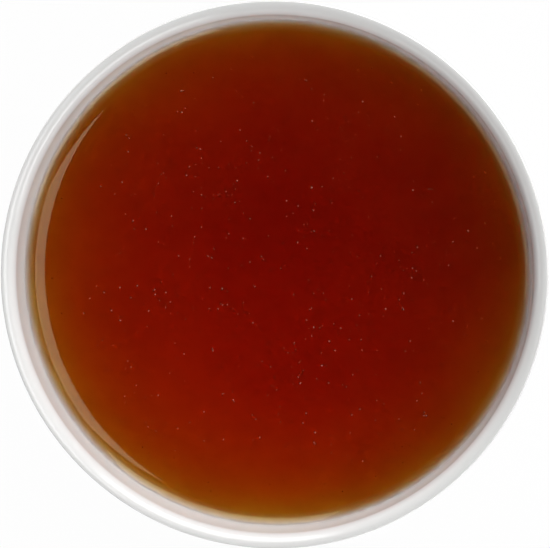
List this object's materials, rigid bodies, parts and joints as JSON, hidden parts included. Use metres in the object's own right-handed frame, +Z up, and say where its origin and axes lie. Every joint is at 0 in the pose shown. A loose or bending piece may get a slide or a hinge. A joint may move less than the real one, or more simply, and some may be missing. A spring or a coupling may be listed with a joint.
{
  "type": "bowl of rooibos tea",
  "caption": "Round white porcelain bowl on a turned foot ring, filled with clear red-brown rooibos tea to a little below its rounded lip.",
  "frame": {"origin": "middle of the face that the foot ring rests on", "axes": "+Z up along the axis that the bowl is turned about"},
  "size_m": [0.105, 0.105, 0.056],
  "materials": {
    "porcelain": "smooth white porcelain under a clear gloss glaze, left bare on the foot ring's resting edge",
    "tea": "clear red-brown tea with a few specks of fine leaf dust, amber where it is thin at the wall"
  },
  "bodies": {
    "root": {"bowl": "porcelain", "tea": "tea"}
  },
  "joints": []
}
